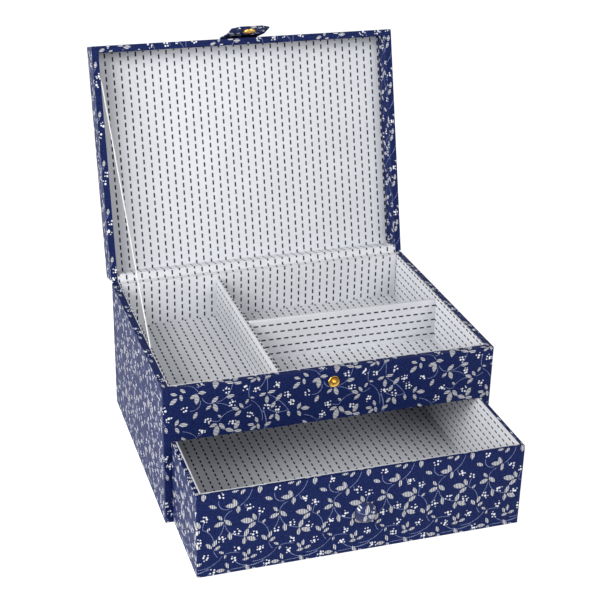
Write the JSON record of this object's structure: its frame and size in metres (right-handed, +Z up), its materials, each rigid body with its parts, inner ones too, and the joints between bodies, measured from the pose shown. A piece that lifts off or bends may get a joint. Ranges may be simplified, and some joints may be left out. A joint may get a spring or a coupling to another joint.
{
  "type": "sewing box with drawer",
  "caption": "Cloth-covered sewing box: lined tray with dividers under a hinged lid that a stay cord holds and a snap tab closes, over a full-width drawer with a button knob.",
  "frame": {"origin": "centre of the closed case's underside, on the surface it stands on", "axes": "+X to the viewer's right, -Y to the front where the drawer opens, +Z up"},
  "size_m": [0.3, 0.4043, 0.363],
  "materials": {
    "greyboard": "plain grey paper board, hidden under the cloth",
    "printed_cloth": "navy cotton with a small printed floral pattern",
    "lining_cloth": "off-white cotton with a printed running-stitch pattern",
    "brass": "polished brass press stud",
    "plated_metal": "plain pressed metal",
    "cord": "white twisted cotton cord"
  },
  "bodies": {
    "case": {"side_board_left": "greyboard", "side_board_right": "greyboard", "back_board": "greyboard", "front_board": "greyboard", "shelf_board": "greyboard", "base_board": "greyboard", "base_cloth": "printed_cloth", "bay_cloth": "printed_cloth", "outer_cloth": "printed_cloth", "tray_floor_lining": "lining_cloth", "tray_lining_left": "lining_cloth", "tray_lining_right": "lining_cloth", "tray_lining_front": "lining_cloth", "tray_lining_back": "lining_cloth", "long_divider": "lining_cloth", "cross_divider": "lining_cloth", "hinge_lining_case": "lining_cloth", "snap_stud": "brass", "stud_rivet": "brass", "stay_cord": "cord"},
    "lid": {"lid_top_board": "greyboard", "lid_rim_left": "greyboard", "lid_rim_right": "greyboard", "lid_rim_front": "greyboard", "lid_rim_rear": "greyboard", "lid_cloth": "printed_cloth", "lid_lining": "lining_cloth", "hinge_lining_lid": "lining_cloth", "tab_root": "printed_cloth"},
    "tab": {"tab_strap": "printed_cloth", "snap_socket": "brass", "snap_cap": "brass"},
    "drawer": {"drawer_board_left": "greyboard", "drawer_board_right": "greyboard", "drawer_board_back": "greyboard", "drawer_board_front": "greyboard", "drawer_board_bottom": "greyboard", "drawer_cloth": "printed_cloth", "drawer_floor_lining": "lining_cloth", "drawer_lining_left": "lining_cloth", "drawer_lining_right": "lining_cloth", "drawer_lining_front": "lining_cloth", "drawer_lining_back": "lining_cloth", "knob_shell": "printed_cloth", "knob_back": "plated_metal", "knob_washer": "plated_metal"}
  },
  "joints": [
    {"name": "lid_hinge", "type": "hinge", "parent": "case", "child": "lid", "pos_m": [0, 0.112, 0.1304], "axis": [1, 0, 0], "range_deg": [0, 105], "deforming": ["stay_cord"]},
    {"name": "drawer_slide", "type": "slide", "parent": "case", "child": "drawer", "axis": [0, 1, 0], "range_m": [-0.019, 0.086]},
    {"name": "tab_hinge", "type": "hinge", "parent": "lid", "child": "tab", "pos_m": [0, 0.17149, 0.35009], "axis": [-1, 0, 0], "range_deg": [-11.5, 90]}
  ]
}
